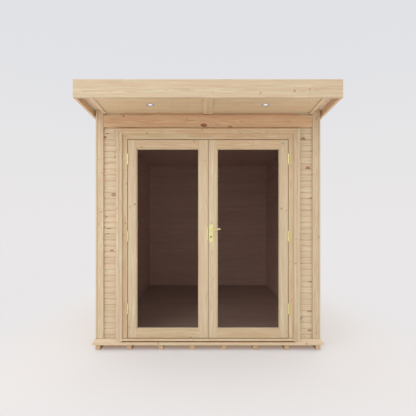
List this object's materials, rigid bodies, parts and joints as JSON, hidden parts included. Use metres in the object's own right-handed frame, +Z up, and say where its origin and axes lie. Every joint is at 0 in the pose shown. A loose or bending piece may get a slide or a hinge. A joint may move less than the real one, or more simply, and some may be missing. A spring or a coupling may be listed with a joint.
{
  "type": "garden office pod",
  "caption": "Small flat-roofed timber garden room with grooved cladding, glazed double doors that open, a deep front canopy with downlights and a sloping skirt on bearers.",
  "frame": {"origin": "on the ground, under the middle of the whole footprint with the roof's overhangs included", "axes": "+Z up, the doors face -Y, +X to the right of someone facing the doors"},
  "size_m": [2.334, 3.542, 2.51],
  "materials": {
    "planed_wood": "planed pine with fine grain and brown knots, satin",
    "cladding": "grooved pine boards, satin",
    "lining_wood": "tongued pine lining boards",
    "floor_wood": "tongued pine floor boards",
    "insulated_panel": "joisted panel, matt",
    "rough_timber": "sawn softwood, matt",
    "roof_rubber": "matt rubber sheet",
    "brass": "polished brass",
    "glass": "clear, dark against the room",
    "lamp_rim": "pale satin paint",
    "lamp_lens": "opal lens"
  },
  "bodies": {
    "root": {"floor_bearers": "rough_timber", "floor_frame": "rough_timber", "floor_panel": "insulated_panel", "floor_boards": "floor_wood", "skirt_front": "planed_wood", "skirt_back": "planed_wood", "skirt_sides": "planed_wood", "left_wall": "cladding", "right_wall": "cladding", "back_wall": "cladding", "front_wall_left": "cladding", "front_wall_right": "cladding", "front_wall_over_door": "cladding", "frieze_board": "planed_wood", "front_corner_trims": "planed_wood", "back_corner_trims": "planed_wood", "side_corner_trims": "planed_wood", "door_jambs": "planed_wood", "door_head": "planed_wood", "door_sill": "planed_wood", "side_architraves": "planed_wood", "head_architrave": "planed_wood", "ceiling_panel": "lining_wood", "roof_deck": "rough_timber", "roof_covering": "roof_rubber", "front_fascia": "planed_wood", "back_fascia": "planed_wood", "side_fascias": "planed_wood", "soffit_boards": "planed_wood", "soffit_trims": "planed_wood", "downlights": "lamp_rim", "frame_hinges": "brass"},
    "left_door": {"left_door_stiles": "planed_wood", "left_door_rails": "planed_wood", "left_door_glass": "glass", "left_door_beads": "planed_wood", "left_door_hinges": "brass", "left_door_keep": "brass"},
    "right_door": {"right_door_stiles": "planed_wood", "right_door_rails": "planed_wood", "right_door_glass": "glass", "right_door_beads": "planed_wood", "right_door_hinges": "brass", "handle_plates": "brass"},
    "lever": {"door_lever": "brass"}
  },
  "joints": [
    {"name": "left_door_hinge", "type": "hinge", "parent": "root", "child": "left_door", "pos_m": [-0.803, -1.278, 1.1105], "axis": [0, 0, -1], "range_deg": [0, 150]},
    {"name": "right_door_hinge", "type": "hinge", "parent": "root", "child": "right_door", "pos_m": [0.803, -1.278, 1.1105], "axis": [0, 0, 1], "range_deg": [0, 150]},
    {"name": "lever_turn", "type": "hinge", "parent": "right_door", "child": "lever", "pos_m": [0.031, -1.251, 1.199], "axis": [0, 1, 0], "range_deg": [0, 40], "stiffness_Nm_per_rad": 1.2, "springref_deg": -28.65}
  ]
}
